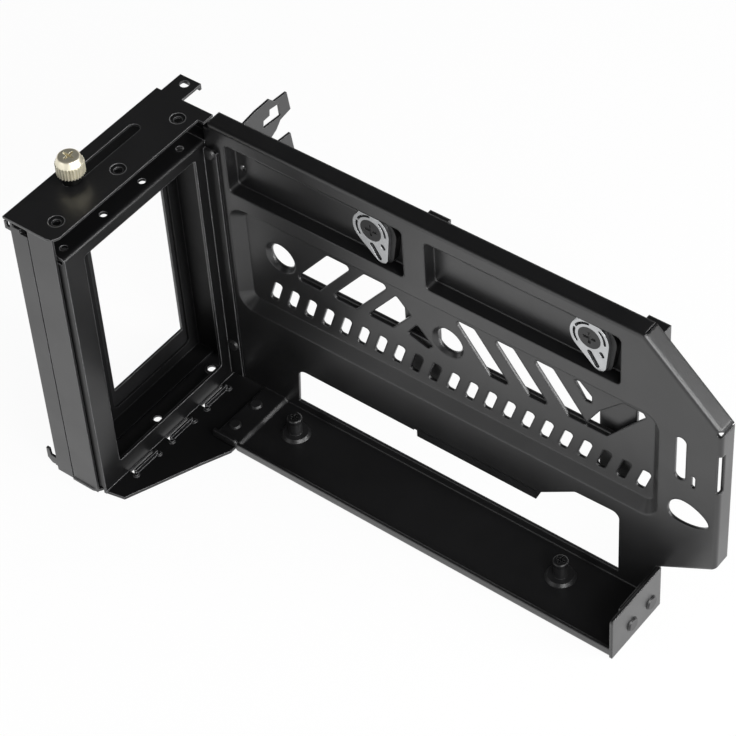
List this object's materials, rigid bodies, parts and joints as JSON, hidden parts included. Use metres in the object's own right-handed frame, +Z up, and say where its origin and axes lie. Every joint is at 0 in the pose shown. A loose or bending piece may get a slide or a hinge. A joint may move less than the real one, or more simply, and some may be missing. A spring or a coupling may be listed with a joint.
{
  "type": "vertical gpu bracket",
  "caption": "Folded black steel bracket that holds a graphics card upright in a computer case, with a sliding case-side frame, pocketed side panel, cam-lever arms and a knurled clamp screw.",
  "frame": {"origin": "middle of the whole part's plan box, on the surface that the tray stands on", "axes": "+X along the side panel from the slot frame to its free end, +Y from the tray side to behind the panel, +Z up from the tray to the top plate"},
  "size_m": [0.2426, 0.1456, 0.1387],
  "materials": {
    "panel_black": "satin black powder coat",
    "frame_black": "satin black powder coat",
    "case_black": "satin black powder coat",
    "rivet_black": "black coated rivet heads",
    "screw_black": "black oxide screws",
    "standoff_black": "black coated stand-offs",
    "brass_knob": "pale gold knurled metal",
    "slider_black": "matt black moulding",
    "lever_silver": "satin bright metal"
  },
  "bodies": {
    "frame": {"main_panel": "panel_black", "rear_rail": "panel_black", "slot_frame": "frame_black", "lap_rivets": "rivet_black", "foot_rivets": "rivet_black", "end_rivets": "rivet_black", "riser_standoffs": "standoff_black", "riser_screws": "screw_black", "clamp_standoff": "standoff_black"},
    "case_frame": {"slide_frame": "case_black", "window_liner": "case_black", "hook_plate": "case_black"},
    "thumb_screw": {"thumb_screw": "brass_knob"},
    "slider_1": {"slider_block_1": "slider_black", "pivot_screw_1": "screw_black", "rear_arm_1": "panel_black", "arm_screws_1": "screw_black"},
    "lever_1": {"cam_lever_1": "lever_silver"},
    "slider_2": {"slider_block_2": "slider_black", "pivot_screw_2": "screw_black", "rear_arm_2": "panel_black", "arm_screws_2": "screw_black"},
    "lever_2": {"cam_lever_2": "lever_silver"}
  },
  "joints": [
    {"name": "case_slide", "type": "slide", "parent": "frame", "child": "case_frame", "axis": [0, -1, 0], "range_m": [0, 0.032]},
    {"name": "thumb_screw_turn", "type": "hinge", "parent": "frame", "child": "thumb_screw", "pos_m": [-0.11175, -0.04545, 0.1279], "axis": [0, 0, 1], "continuous": true},
    {"name": "slider_1_slide", "type": "slide", "parent": "frame", "child": "slider_1", "axis": [-1, 0, 0], "range_m": [0, 0.049]},
    {"name": "lever_1_turn", "type": "hinge", "parent": "slider_1", "child": "lever_1", "pos_m": [-0.02155, 0.00455, 0.1132], "axis": [0, 1, 0], "range_deg": [0, 90]},
    {"name": "slider_2_slide", "type": "slide", "parent": "frame", "child": "slider_2", "axis": [-1, 0, 0], "range_m": [0, 0.049]},
    {"name": "lever_2_turn", "type": "hinge", "parent": "slider_2", "child": "lever_2", "pos_m": [0.06855, 0.00455, 0.1132], "axis": [0, 1, 0], "range_deg": [0, 90]}
  ]
}
